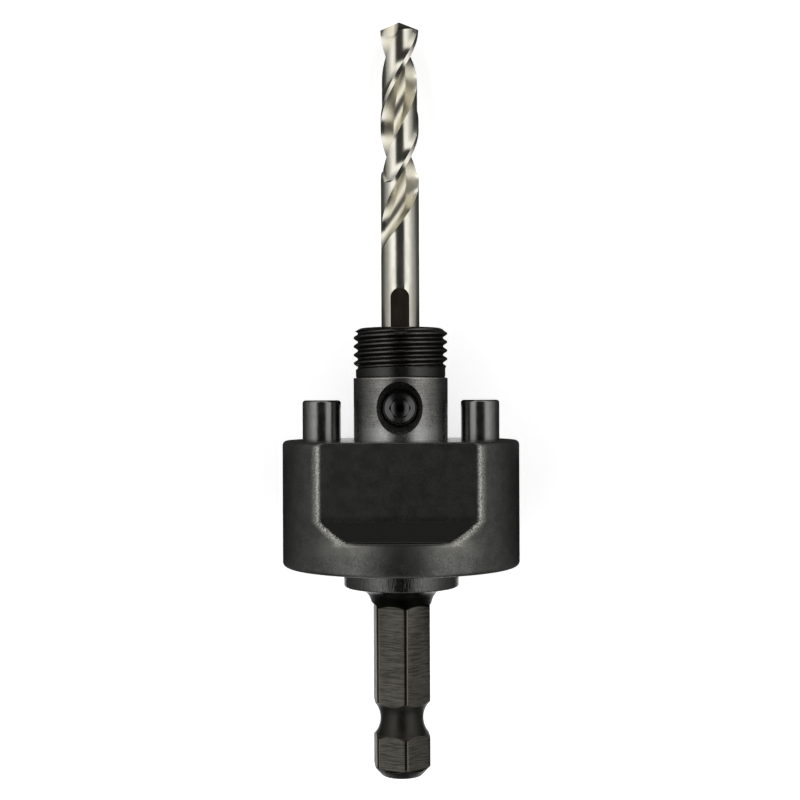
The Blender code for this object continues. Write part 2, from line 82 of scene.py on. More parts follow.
THREAD_RAMP = 0.8
THREAD_RADIUS = 7.8
THREAD_DEPTH = 0.68
THREAD_ROOT = THREAD_RADIUS - THREAD_DEPTH
THREAD_ROUNDING = 0.4
THREAD_PITCH = 25.4 / 18
THREAD_CREST = 71.25
CREST_SHARE = 0.2 / THREAD_PITCH
ROOT_SHARE = 0.88
LAST_ROOT = -1.5
NOSE_TOP = 74.25
NOSE_RADIUS = 6.7
NOSE_CHAMFER = 0.65
BORE_RADIUS = 3.275
BORE_BOTTOM = 42.4
BORE_MOUTH = 0.25
BORE_HALF_POINT = radians(59)

# Set screw and its hole
SCREW_HEIGHT = 61.0
SCREW_RADIUS = 2.85
SCREW_HOLE_RADIUS = 2.95
SCREW_THREAD_DEPTH = 0.25
SCREW_THREAD_STEP = 0.6
HOLE_THREAD_STEP = 0.9
SCREW_POINT = 3.005
SCREW_TOP = 6.18
SCREW_EDGE = 0.6
SCREW_KEY = 3.175
SCREW_KEY_DEPTH = 1.7
SCREW_DARK_DEPTH = 1.9
SOCKET_DRILL_RADIUS = 1.5
SOCKET_MOUTH_SLOPE = tan(radians(24))
SINK_RADIUS = 4.3
SINK_SLOPE = tan(radians(30))

# Spring ball's pocket
POCKET_HEIGHT = 48.3
POCKET_RADIUS = 1.6
POCKET_BOTTOM = 4.435
POCKET_OUTSIDE = 11.0

# Collar and pins
COLLAR_RADIUS = 19.665
COLLAR_BOTTOM = 34.92
COLLAR_TOP = 55.67
COLLAR_EDGE = 0.75
COLLAR_BORE = 7.985
COLLAR_MOUTH = 0.2
SOCKET_TOP = 52.7
SOCKET_RADIUS = 9.685
SOCKET_HALF_WIDTH = 8.3
FLAT_DISTANCE = 15.0
FLAT_EDGE = 0.42
FLAT_TOP_EDGE = 0.2
LEDGE = 40.27
LEDGE_EDGE = 0.3
LEDGE_FADE = 0.015
RAMP_HEIGHT = 3.0
RAMP_DEPTH = 2.65
RAMP_TOP = LEDGE + RAMP_HEIGHT
PIN_X = 13.2
PIN_RADIUS = 3.2
PIN_TOP = 62.33
PIN_BOTTOM = 41.27
PIN_EDGE = 0.5
PIN_FOOT_EDGE = 0.3
PIN_HOLE_RADIUS = 3.25
PIN_HOLE_BOTTOM = 41.17

# Pilot drill
DRILL_RADIUS = 3.175
DRILL_TAIL = 42.7
DRILL_TIP = 125.25
DRILL_HALF_POINT = radians(67.5)
DRILL_CORNER = DRILL_TIP - DRILL_RADIUS / tan(DRILL_HALF_POINT)
DRILL_LEAD = 33.3
DRILL_CORE = 0.65
FLUTE_RADIUS = 2.54
FLUTE_RUNOUT = DRILL_CORNER - 25.0
WHEEL_RADIUS = 30.0
FLUTE_END = FLUTE_RUNOUT - sqrt(2 * WHEEL_RADIUS * (DRILL_RADIUS - DRILL_CORE))
BACKED_OFF = 0.25
BACKED_OFF_END = DRILL_CORNER - 25.7
BACKED_OFF_SLANT = 1.8
BACKED_OFF_RAMP = 0.3
SLANT_START = 0.7
SLANT_REACH = 0.8
MARGIN = radians(14.0)
MARGIN_FILLET = radians(20.0)
LEAST_OPENING = radians(6.0)
CLEARANCE_ANGLE = radians(10.0)
TAIL_CHAMFER = 0.5
SCREW_FLAT_HALF_WIDTH = 1.55
SCREW_FLAT_DISTANCE = 2.755
SCREW_FLAT_TOP = 80.8

# Painted highlight and painted shade lines along the shank's corners, in degrees from each corner
PAINTED_HIGHLIGHT_DEGREES = (1.6, 3.9)
PAINTED_SHADE_DEGREES = (-2.4, 1.2)

# The photograph's view: 6 pixels to the millimetre at the axis, seen square on
PIXELS_PER_MM = 6.0
PHOTO_SIZE = 800
FOCAL_PIXELS = 1432.0
SENSOR_WIDTH = 36.0
VIEW_HEIGHT = 62.33
VIEW_ASIDE = 0.12
VIEW_TURN = radians(1.55)
VIEW_ROLL = radians(0.23)

# Floor and wall, in metres: PAPER_GLOW has two distances from the middle, and the glow at each
FLOOR_RADIUS = 2.2
FLOOR_STEP = 0.2
WALL_CURVE = 0.8
WALL_TOP = 1.4
PAPER_GREY = 0.95
PAPER_GLOW = (0.05, 0.5, 0.6, 1.0)
ROOM_GREY = 0.035

# Softboxes, in metres; where each strip ends, in degrees round the arbor from the camera, and its radiance
SOFTBOX_DISTANCE = 0.42
SOFTBOX_LENGTH = 1.2
SOFTBOX_START = 24.0
SOFTBOX_STRIPS = ((30.0, 0.7), (54.0, 1.5), (63.0, 1.2), (72.0, 0.9), (81.0, 0.66), (92.0, 0.45))

# Flags over the floor, in metres: name, distance aside where it starts, its two ends along Y,
# distance aside where it starts to turn grey, and its grey by the metre
FLOOR_FLAGS = (
    ("end_flag", 0.0, -1.0, -0.120, 0.0, 0.6),
    ("shank_flag", 0.020, -0.120, -0.036, 0.0, 3.5),
    ("collar_flag", 0.0, -0.036, -0.013, 0.030, 3.5),
    ("collar_top_flag", 0.013, -0.013, -0.004, 0.0, 2.0),
    ("hub_flag", 0.0, -0.004, 0.014, 0.0, 2.4),
    ("drill_flag", 0.0, 0.014, 0.120, 0.0, 5.3),
)
FLAG_HEIGHT = 0.0004
FLAG_REACH = 0.5
FLAG_BLACK = 0.01
FLAG_BRIGHTEST = 0.42
WALL_FLAG_TOP = 0.7

# Frame of the arbor in the world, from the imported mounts
MOUNTS = {mount["name"]: mount for mount in frame["record"]["mounts"]}
ORIGIN = Vector(MOUNTS["shank_end"]["pos_m"])
AXIS = Vector(MOUNTS["saw_seat"]["axis"]).normalized()
FRONT = Vector(MOUNTS["wrench_flat_front"]["axis"]).normalized()
SIDE = AXIS.cross(FRONT).normalized()
TURN = Matrix((SIDE, -FRONT, AXIS)).transposed().to_4x4()
ARBOR = Matrix.Translation(ORIGIN) @ TURN @ Matrix.Scale(MM, 4)
VIEW_FRONT = FRONT * cos(VIEW_TURN) + SIDE * sin(VIEW_TURN)
VIEW_SIDE = SIDE * cos(VIEW_TURN) - FRONT * sin(VIEW_TURN)

collection = bpy.data.collections.new("hole_saw_arbor_looks")
bpy.context.scene.collection.children.link(collection)


# Meshes

def limited(value):
    """A value kept between zero and one."""
    return min(1.0, max(0.0, value))


def smooth(value):
    """A step from zero to one that starts and ends softly."""
    value = limited(value)
    return value * value * (3 - 2 * value)


def arc(centre, radius, start, end, steps):
    """Points of a circular arc in a plane, both ends included."""
    angles = [start + (end - start) * step / steps for step in range(steps + 1)]
    return [(centre[0] + radius * cos(a), centre[1] + radius * sin(a)) for a in angles]


def spread(start, end, step):
    """Even values from start to end, about one step apart, both ends included."""
    count = max(1, round(abs(end - start) / step))
    return [start + (end - start) * i / count for i in range(count + 1)]


def circles(profile, columns):
    """A ring of points about Z through each (radius, height) point."""
    angles = [2 * pi * i / columns for i in range(columns)]
    return [[(r * cos(a), r * sin(a), z) for a in angles] for r, z in profile]


def add_object(name, verts, faces):
    """A mesh object of the looks, in the arbor's own frame for now."""
    mesh = bpy.data.meshes.new(name)
    mesh.from_pydata(verts, [], faces)
    mesh.update()
    obj = bpy.data.objects.new(name, mesh)
    collection.objects.link(obj)
    return obj


def loft(name, rings, start=None, end=None, closed=False):
    """Faces between rings of equal length, closed by points on Z at two heights, or last ring to first."""
    count = len(rings[0])
    verts = [point for ring in rings for point in ring]
    faces = []
    pairs = [(k, k + 1) for k in range(len(rings) - 1)]
    if closed:
        pairs.append((len(rings) - 1, 0))
    for low, high in pairs:
        for i in range(count):
            j = (i + 1) % count
            faces.append((low * count + i, low * count + j, high * count + j, high * count + i))
    for height, base, flip in ((start, 0, True), (end, (len(rings) - 1) * count, False)):
        if height is None:
            continue
        verts.append((0.0, 0.0, height))
        for i in range(count):
            a, b = base + i, base + (i + 1) % count
            faces.append((b, a, len(verts) - 1) if flip else (a, b, len(verts) - 1))
    return add_object(name, verts, faces)


def turned(name, profile, columns):
    """A solid turned about Z from (radius, height) points that run from its foot to its top."""
    rings = circles([point for point in profile if point[0] > 0], columns)
    return loft(name, rings, profile[0][1], profile[-1][1])


def prism(name, outline, low, high):
    """A prism on a flat outline of (x, y) points that run counterclockwise."""
    count = len(outline)
    verts = [(x, y, low) for x, y in outline] + [(x, y, high) for x, y in outline]
    faces = [tuple(reversed(range(count))), tuple(range(count, 2 * count))]
    faces += [(i, (i + 1) % count, count + (i + 1) % count, count + i) for i in range(count)]
    return add_object(name, verts, faces)


def round_ended_slot(radius, bottom, top):
    """Outline of a slot with a round upper end, counterclockwise."""
    return [(-radius, bottom), (radius, bottom)] + arc((0.0, top - radius), radius, 0.0, pi, 32)


def turn_to(obj, matrix):
    """Move a mesh within the arbor's frame."""
    obj.data.transform(matrix)
    return obj


def outward(turn=0.0, height=0.0):
    """Takes Z to the direction that points out of the front, turned about the axis, and Y to up."""
    up = Matrix.Rotation(pi / 2, 4, "X")
    return Matrix.Translation((0.0, 0.0, height)) @ Matrix.Rotation(turn, 4, "Z") @ up


def joined(name, objects):
    """One mesh object from several that don't touch."""
    verts = []
    faces = []
    for obj in objects:
        start = len(verts)
        verts += [vertex.co[:] for vertex in obj.data.vertices]
        faces += [tuple(start + i for i in polygon.vertices) for polygon in obj.data.polygons]
        bpy.data.objects.remove(obj, do_unlink=True)
    return add_object(name, verts, faces)


def carve(obj, cutters):
    """Cut each cutter out of the object's mesh, and take the cutters away."""
    for cutter in cutters:
        boolean = obj.modifiers.new("Cut", "BOOLEAN")
        boolean.operation = "DIFFERENCE"
        boolean.solver = "EXACT"
        boolean.object = cutter
    bpy.context.view_layer.update()
    evaluated = obj.evaluated_get(bpy.context.evaluated_depsgraph_get())
    mesh = bpy.data.meshes.new_from_object(evaluated)
    obj.modifiers.clear()
    obj.data = mesh
    for cutter in cutters:
        bpy.data.objects.remove(cutter, do_unlink=True)


def finish_piece(obj, body, node, material, sharp=28.0):
    """Shade a piece, put it in the world, hang it on its body and hide the imported node it stands for."""
    obj.data.materials.clear()
    obj.data.materials.append(material)
    obj.data.shade_smooth()
    obj.data.set_sharp_from_angle(angle=radians(sharp))
    obj.data.transform(ARBOR)
    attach(obj, body)
    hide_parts(node)


# Mandrel

def thread_radius(angle, height):
    """Radius of the nose below its chamfer: a right-hand thread whose last groove runs out at the back."""
    around = (angle - pi / 2) % (2 * pi) - 2 * pi
    turns = (height - THREAD_CREST) / THREAD_PITCH - around / (2 * pi) + 0.25
    from_crest = abs(turns - round(turns)) * 2
    flank = limited((from_crest - CREST_SHARE) / (ROOT_SHARE - CREST_SHARE))
    depth = THREAD_DEPTH * (smooth(flank) * THREAD_ROUNDING + flank * (1 - THREAD_ROUNDING))
    if turns < LAST_ROOT - 0.5:
        depth = 0.0
    elif turns < LAST_ROOT + 0.5:
        depth *= smooth((around + 2 * pi) * 3 / pi)
    low = smooth((THREAD_START - 0.15 - height) / THREAD_RAMP)
    foot = THREAD_RADIUS + (UNDERCUT_RADIUS - THREAD_RADIUS) * low
    return min(foot, THREAD_RADIUS - depth)


def nose_rings(columns):
    """Rings down the nose: its chamfer, its thread and the undercut."""
    rings = []
    slope = (THREAD_RADIUS + 0.05 - NOSE_RADIUS) / NOSE_CHAMFER
    for height in spread(NOSE_TOP - 0.06, SHOULDER + 0.25, 0.06):
        chamfer = NOSE_RADIUS + (NOSE_TOP - height) * slope
        ring = []
        for column in range(columns):
            angle = 2 * pi * column / columns
            radius = min(chamfer, thread_radius(angle, height))
            ring.append((radius * cos(angle), radius * sin(angle), height))
        rings.append(ring)
    return rings


def bore_profile():
    """(radius, height) points up the pilot bore and out over the end of the nose."""
    profile = [(BORE_RADIUS, BORE_BOTTOM), (BORE_RADIUS, NOSE_TOP - BORE_MOUTH)]
    profile += [(BORE_RADIUS + BORE_MOUTH, NOSE_TOP), (NOSE_RADIUS - 0.1, NOSE_TOP)]
    return profile + [(NOSE_RADIUS, NOSE_TOP - 0.04)]


def hub_profile():
    """(radius, height) points from the undercut's fillet, down the hub, block and flange."""
    centre = (UNDERCUT_RADIUS + 0.12, SHOULDER + UNDERCUT_FILLET)
    fillet = arc(centre, UNDERCUT_FILLET, pi, 1.5 * pi, 6)
    profile = [(min(r, HUB_RADIUS - HUB_EDGE - 0.02), z) for r, z in fillet]
    profile += arc((HUB_RADIUS - HUB_EDGE, SHOULDER - HUB_EDGE), HUB_EDGE, pi / 2, 0.0, 4)
    profile += [(HUB_RADIUS, z) for z in spread(SHOULDER - 1.0, BLOCK_TOP + HUB_FILLET, 1.5)]
    centre = (HUB_RADIUS + HUB_FILLET, BLOCK_TOP + HUB_FILLET)
    profile += arc(centre, HUB_FILLET, pi, 1.5 * pi, 3)[1:]
    profile += [(FLANGE_RADIUS - BLOCK_EDGE, BLOCK_TOP), (FLANGE_RADIUS, BLOCK_TOP - BLOCK_EDGE)]
    profile += [(FLANGE_RADIUS, z) for z in (45.0, FLANGE_TOP + 0.1, FLANGE_TOP - 0.5)]
    centre = (FLANGE_RADIUS - FLANGE_EDGE, SHANK_LENGTH + FLANGE_EDGE)
    return profile + arc(centre, FLANGE_EDGE, 0.0, -pi / 2, 5)


def shank_profile():
    """(radius, height) points from the flange's fillet, past the groove, to the shank's end."""
    centre = (SHANK_RADIUS + SHANK_FILLET, SHANK_LENGTH - SHANK_FILLET)
    profile = arc(centre, SHANK_FILLET, pi / 2, pi, 12)
    centre = (GROOVE_NECK_RADIUS + GROOVE_RADIUS, GROOVE_HEIGHT)
    reach = acos((centre[0] - SHANK_RADIUS) / GROOVE_RADIUS)
    profile += arc(centre, GROOVE_RADIUS, pi - reach, pi + reach, 20)
    profile += [(SHANK_RADIUS, SHANK_CHAMFER + 0.15), (SHANK_RADIUS - 0.1, SHANK_CHAMFER)]
    return profile + [(SHANK_END_RADIUS + 0.1, 0.08), (SHANK_END_RADIUS - 0.05, 0.0)]


def hexagon_cutters():
    """Two sets of three milled flats that make the round shank a hexagon."""
    slot = round_ended_slot(HEX_MILL_RADIUS, -OVERCUT, HEX_LENGTH)
    cutters = []
    for first in (0, 1):
        flats = []
        for side in (first, first + 2, first + 4):
            turn = HEX_TURN + radians(HEX_SIDE_DEGREES * (side + 0.5))
            flat = prism(f"flat_{side}", slot, HEX_FLAT_DISTANCE, SHANK_RADIUS + OVERCUT)
            flats.append(turn_to(flat, outward(turn)))
        cutters.append(joined(f"flats_{first}", flats))
    return cutters


def screw_hole():
    """The set screw's hole with rings for its thread, and its countersink."""
    radius = SCREW_HOLE_RADIUS
    outside = HUB_RADIUS + OVERCUT
    sink_bottom = HUB_RADIUS - (SINK_RADIUS - radius) / SINK_SLOPE
    profile = [(0.0, 0.2), (radius, 0.2)]
    height = HOLE_THREAD_STEP
    while height < sink_bottom - 0.3:
        profile += [(radius, height), (radius + SCREW_THREAD_DEPTH, height + 0.3), (radius, height + 0.6)]
        height += HOLE_THREAD_STEP
    profile += [(radius, sink_bottom), (SINK_RADIUS + OVERCUT * SINK_SLOPE, outside), (0.0, outside)]
    return turn_to(turned("screw_hole", profile, 96), outward(height=SCREW_HEIGHT))


def ball_pocket():
    """The pocket of the spring ball, in the back of the drive block."""
    profile = [(0.0, POCKET_BOTTOM), (POCKET_RADIUS, POCKET_BOTTOM)]
    profile += [(POCKET_RADIUS, POCKET_OUTSIDE), (0.0, POCKET_OUTSIDE)]
    return turn_to(turned("pocket", profile, 48), outward(pi, POCKET_HEIGHT))


def block_flats():
    """The two flats of the drive block."""
    far = FLANGE_RADIUS + OVERCUT
    flats = []
    for left, right in ((-far, -BLOCK_HALF_WIDTH), (BLOCK_HALF_WIDTH, far)):
        outline = [(left, -far), (right, -far), (right, far), (left, far)]
        flats.append(prism("block_flat", outline, FLANGE_TOP, BLOCK_TOP + OVERCUT))
    return flats


def make_mandrel(material):
    """The mandrel with its thread, hexagon, groove, drive block, bores and countersink."""
    columns = 240
    rings = circles(bore_profile(), columns) + nose_rings(columns)
    rings += circles(hub_profile() + shank_profile(), columns)
    bore_end = BORE_BOTTOM - BORE_RADIUS / tan(BORE_HALF_POINT)
    mandrel = loft("mandrel_steel", rings, bore_end, 0.0)
    mandrel.data.flip_normals()
    cutters = hexagon_cutters()
    cutters.append(joined("holes", [screw_hole(), ball_pocket()] + block_flats()))
    carve(mandrel, cutters)
    finish_piece(mandrel, "mandrel", "mandrel", material)


# Collar

def soft_min(a, b, reach):
    """The smaller of two values, rounded off where they meet."""
    near = max(reach - abs(a - b), 0.0) / reach
    return min(a, b) - near * near * reach / 4


def turned_envelope(height):
    """Radius of the collar as turned, with its rounded edges."""
    edge = COLLAR_EDGE
    over = max(0.0, height - (COLLAR_TOP - edge), (COLLAR_BOTTOM + edge) - height)
    return COLLAR_RADIUS - edge + sqrt(max(0.0, edge * edge - over * over))


def flat_distance(height):
    """Distance of the milled flat and its ramp from the axis, from the ledge up."""
    edge = FLAT_TOP_EDGE
    ramp = max(0.0, (RAMP_TOP - height) / RAMP_HEIGHT)
    over = max(0.0, height - COLLAR_TOP + edge)
    return FLAT_DISTANCE + RAMP_DEPTH * ramp - (edge - sqrt(max(0.0, edge * edge - over * over)))


def collar_radius(turn, height):
    """Outer radius of the collar at an angle from the front or the back, and a height."""
    envelope = turned_envelope(height)
    toward = cos(turn)
    if height >= LEDGE:
        return soft_min(envelope, flat_distance(height) / max(toward, 0.05), FLAT_EDGE)
    above = LEDGE_EDGE - (LEDGE - height)
    if above <= 0:
        return envelope
    inside = limited((toward - (FLAT_DISTANCE + RAMP_DEPTH) / COLLAR_RADIUS) / LEDGE_FADE)
    return envelope - inside * (LEDGE_EDGE - sqrt(LEDGE_EDGE ** 2 - above ** 2))


def collar_columns():
    """Pairs of angles, from the nearer flat and round the axis, closer together at the flats' edges."""
    quarter = spread(0.0, 22.0, 1.5)[:-1] + spread(22.0, 46.0, 0.3)[:-1] + spread(46.0, 90.0, 1.6)
    turns = [radians(v) for v in quarter]
    half = [-t for t in reversed(turns[1:])] + turns[:-1]
    return [(t, middle + t) for middle in (-pi / 2, pi / 2) for t in half]


def collar_heights():
    """Heights of the collar's outer rings from the top down, close at its edges and its ramp."""
    quarters = [pi / 2 * k / 6 for k in range(1, 7)]
    heights = [COLLAR_TOP - COLLAR_EDGE * (1 - cos(a)) for a in quarters]
    heights += spread(COLLAR_TOP - 1.2, RAMP_TOP + 0.2, 1.2)
    heights += spread(RAMP_TOP + 0.08, LEDGE + 0.08, 0.1) + [LEDGE + 0.01, LEDGE]
    heights += [LEDGE - LEDGE_EDGE * (1 - cos(pi / 2 * k / 5)) - 0.001 for k in range(6)]
    heights += spread(LEDGE - 0.6, COLLAR_BOTTOM + COLLAR_EDGE, 1.0)
    heights += [COLLAR_BOTTOM + COLLAR_EDGE * (1 - sin(a)) for a in quarters]
    return sorted(set(round(z, 5) for z in heights), reverse=True)


def collar_rings():
    """Rings over the collar's top, down its outside, in under it and up its bore."""
    columns = collar_columns()

    def ring(radii, height):
        return [(r * cos(a), r * sin(a), height) for r, (_, a) in zip(radii, columns)]

    mouth = COLLAR_BORE + COLLAR_MOUTH
    top = [collar_radius(turn, COLLAR_TOP) for turn, _ in columns]
    rings = []
    for share in (0.0, 0.25, 0.5, 0.75, 1.0):
        rings.append(ring([mouth + (radius - mouth) * share for radius in top], COLLAR_TOP))
    for height in collar_heights():
        rings.append(ring([collar_radius(turn, height) for turn, _ in columns], height))
    foot = COLLAR_RADIUS - COLLAR_EDGE
    for share in (0.9, 0.5, 0.0):
        rings.append(ring([mouth + (foot - mouth) * share] * len(columns), COLLAR_BOTTOM))
    for height in (COLLAR_BOTTOM + COLLAR_MOUTH, COLLAR_TOP - COLLAR_MOUTH):
        rings.append(ring([COLLAR_BORE] * len(columns), height))
    return rings


def socket_cutter():
    """The collar's socket, which fits over the drive block."""
    reach = acos(SOCKET_HALF_WIDTH / SOCKET_RADIUS)
    outline = arc((0.0, 0.0), SOCKET_RADIUS, reach, pi - reach, 48)
    outline += arc((0.0, 0.0), SOCKET_RADIUS, pi + reach, 2 * pi - reach, 48)
    return prism("socket", outline, COLLAR_BOTTOM - OVERCUT, SOCKET_TOP)


def pin_holes():
    """The two blind holes of the drive pins."""
    outside = COLLAR_TOP + OVERCUT
    profile = [(0.0, PIN_HOLE_BOTTOM), (PIN_HOLE_RADIUS, PIN_HOLE_BOTTOM)]
    profile += [(PIN_HOLE_RADIUS, outside), (0.0, outside)]
    holes = []
    for side in (-1, 1):
        holes.append(turn_to(turned("pin_hole", profile, 96), Matrix.Translation((side * PIN_X, 0.0, 0.0))))
    return joined("pin_holes", holes)


def make_collar(material):
    """The drive collar, with worn round edges at its flats, its socket and its pin holes."""
    collar = loft("collar_steel", collar_rings(), closed=True)
    collar.data.flip_normals()
    carve(collar, [socket_cutter(), pin_holes()])
    finish_piece(collar, "collar", "drive_collar", material, sharp=35.0)


def make_pins(material):
    """The drive pins, with rounded upper edges."""
    profile = [(0.0, PIN_BOTTOM), (PIN_RADIUS - PIN_FOOT_EDGE, PIN_BOTTOM)]
    profile += [(PIN_RADIUS, PIN_BOTTOM + PIN_FOOT_EDGE)]
    profile += [(PIN_RADIUS, z) for z in spread(PIN_BOTTOM + 1.0, PIN_TOP - PIN_EDGE - 0.2, 2.0)]
    profile += arc((PIN_RADIUS - PIN_EDGE, PIN_TOP - PIN_EDGE), PIN_EDGE, 0.0, pi / 2, 8)
    profile += [(0.0, PIN_TOP)]
    for side, name in ((-1, "left"), (1, "right")):
        pin = turned(f"pin_{name}_steel", profile, 128)
        turn_to(pin, Matrix.Translation((side * PIN_X, 0.0, 0.0)))
        finish_piece(pin, "collar", f"drive_pin_{name}", material)


# Pilot drill

def half_opening(core):
    """Half the angle that a flute opens at the drill's surface."""
    centre = core + FLUTE_RADIUS
    reach = (DRILL_RADIUS ** 2 + centre ** 2 - FLUTE_RADIUS ** 2) / (2 * DRILL_RADIUS * centre)
    return acos(min(1.0, reach))


def relief(height, back):
    """How deep the land is backed off behind its margin; its end slants up to the heel."""
    behind = limited((back - MARGIN) / MARGIN_FILLET)
    slant = BACKED_OFF_SLANT * limited((back - SLANT_START) / SLANT_REACH)
    above = limited((height - BACKED_OFF_END - slant) / BACKED_OFF_RAMP)
    return BACKED_OFF * (1 - (1 - behind) ** 2) * above


def half_section(height, flute_steps=20, land_steps=10):
    """Half the drill's section: (radius, angle from the cutting edge, drop of the ground point)."""
    core = DRILL_CORE + max(0.0, FLUTE_RUNOUT - height) ** 2 / (2 * WHEEL_RADIUS)
    middle = half_opening(DRILL_CORE)
    opening = max(half_opening(core), LEAST_OPENING)
    edge = middle - opening
    land = pi - 2 * opening
    centre = core + FLUTE_RADIUS
    fall = land * tan(CLEARANCE_ANGLE)
    points = []
    for step in range(1, flute_steps):
        share = step / flute_steps
        angle = opening * (2 * share - 1)
        across = centre * cos(angle)
        inside = across ** 2 - centre ** 2 + FLUTE_RADIUS ** 2
        radius = min(across - sqrt(max(0.0, inside)), DRILL_RADIUS)
        points.append((radius, middle + angle, radius * fall * share))
    foot = MARGIN + MARGIN_FILLET
    backs = [foot + (land - foot) * (1 - step / land_steps) for step in range(land_steps)]
    backs += [MARGIN + MARGIN_FILLET * share for share in (1.0, 0.75, 0.5, 0.3, 0.12, 0.0)]
    for back in backs + [MARGIN / 2, 0.0]:
        radius = DRILL_RADIUS - relief(height, back)
        points.append((radius, edge + pi - back, radius * fall * back / land))
    return points


def drill_ring(height, cut=0.0, at_point=False):
    """The drill's section at a height, twisted to its place; at the point it falls down the cone."""
    ring = []
    for half in (0.0, pi):
        for radius, angle, drop in half_section(height):
            z = DRILL_TIP - radius / tan(DRILL_HALF_POINT) - drop if at_point else height
            angle += half + (max(z, FLUTE_END) - DRILL_CORNER) * 2 * pi / DRILL_LEAD
            ring.append(((radius - cut) * cos(angle), (radius - cut) * sin(angle), z))
    return ring


def make_drill(material):
    """The pilot drill: flutes, margins, backed-off lands, ground point and the screw's flat."""
    point = drill_ring(DRILL_CORNER, at_point=True)
    highest = min(z for _, _, z in point) - 0.1
    slanted = BACKED_OFF_END + BACKED_OFF_SLANT
    heights = spread(50.0, FLUTE_END - 1.0, 4.0)
    heights += spread(FLUTE_END, BACKED_OFF_END - 0.15, 0.25)
    heights += spread(BACKED_OFF_END, slanted + BACKED_OFF_RAMP, 0.1) + spread(slanted + 0.5, highest, 0.2)
    rings = [drill_ring(DRILL_TAIL, TAIL_CHAMFER), drill_ring(DRILL_TAIL + TAIL_CHAMFER)]
    rings += [drill_ring(height) for height in heights] + [point]
    drill = loft("drill_steel", rings, DRILL_TAIL, DRILL_TIP)
    slot = round_ended_slot(SCREW_FLAT_HALF_WIDTH, DRILL_TAIL - OVERCUT, SCREW_FLAT_TOP)
    flat = prism("screw_flat", slot, SCREW_FLAT_DISTANCE, DRILL_RADIUS + OVERCUT)
    carve(drill, [turn_to(flat, outward())])
    finish_piece(drill, "pilot", "pilot_drill", material)


# Set screw

def screw_profile():
    """(radius, height) points of the set screw, with rings for its thread."""
    top, outer, root = SCREW_TOP, SCREW_RADIUS, SCREW_RADIUS - SCREW_THREAD_DEPTH
    profile = [(0.0, SCREW_POINT), (outer - 0.6, SCREW_POINT), (outer - 0.1, SCREW_POINT + 0.4)]
    height = SCREW_POINT + 0.5
    while height < top - 1.0:
        profile += [(root, height), (outer, height + 0.25), (outer, height + 0.35)]
        height += SCREW_THREAD_STEP
    profile += [(outer - 0.2, top - 0.55), (outer - 0.05, top - 0.4)]
    centre = (outer - SCREW_EDGE - 0.05, top - SCREW_EDGE)
    return profile + arc(centre, SCREW_EDGE, radians(20), pi / 2, 6) + [(0.0, top)]


def socket_cutters():
    """The set screw's hex socket, the drilled cone at its bottom and its chamfered mouth."""
    corner = SCREW_KEY / 2 / cos(pi / 6)
    hexagon = [(corner * cos(pi * k / 3), corner * sin(pi * k / 3)) for k in range(6)]
    top, bottom = SCREW_TOP, SCREW_TOP - SCREW_KEY_DEPTH
    foot = [(x * 0.97, y * 0.97, bottom) for x, y in hexagon]
    head = [(x, y, top + 0.4) for x, y in hexagon]
    socket = loft("socket", [foot, head], bottom, top + 0.4)
    drilled = [(0.0, bottom - 0.6), (SOCKET_DRILL_RADIUS, bottom)]
    drilled += [(SOCKET_DRILL_RADIUS, bottom + 0.2), (0.0, bottom + 0.2)]
    wide = SCREW_RADIUS - 0.35
    mouth = [(0.0, top - wide * SOCKET_MOUTH_SLOPE), (wide, top), (wide + 0.1, top + 0.5), (0.0, top + 0.5)]
    return [socket, turned("socket_drilled", drilled, 64), turned("socket_mouth", mouth, 96)]


def make_set_screw(material):
    """The set screw, with its thread's crests, chamfered ends and a hex socket."""
    screw = turned("screw_steel", screw_profile(), 96)
    carve(screw, socket_cutters())
    turn_to(screw, outward(height=SCREW_HEIGHT))
    finish_piece(screw, "screw", "set_screw", material, sharp=15.0)


# Materials

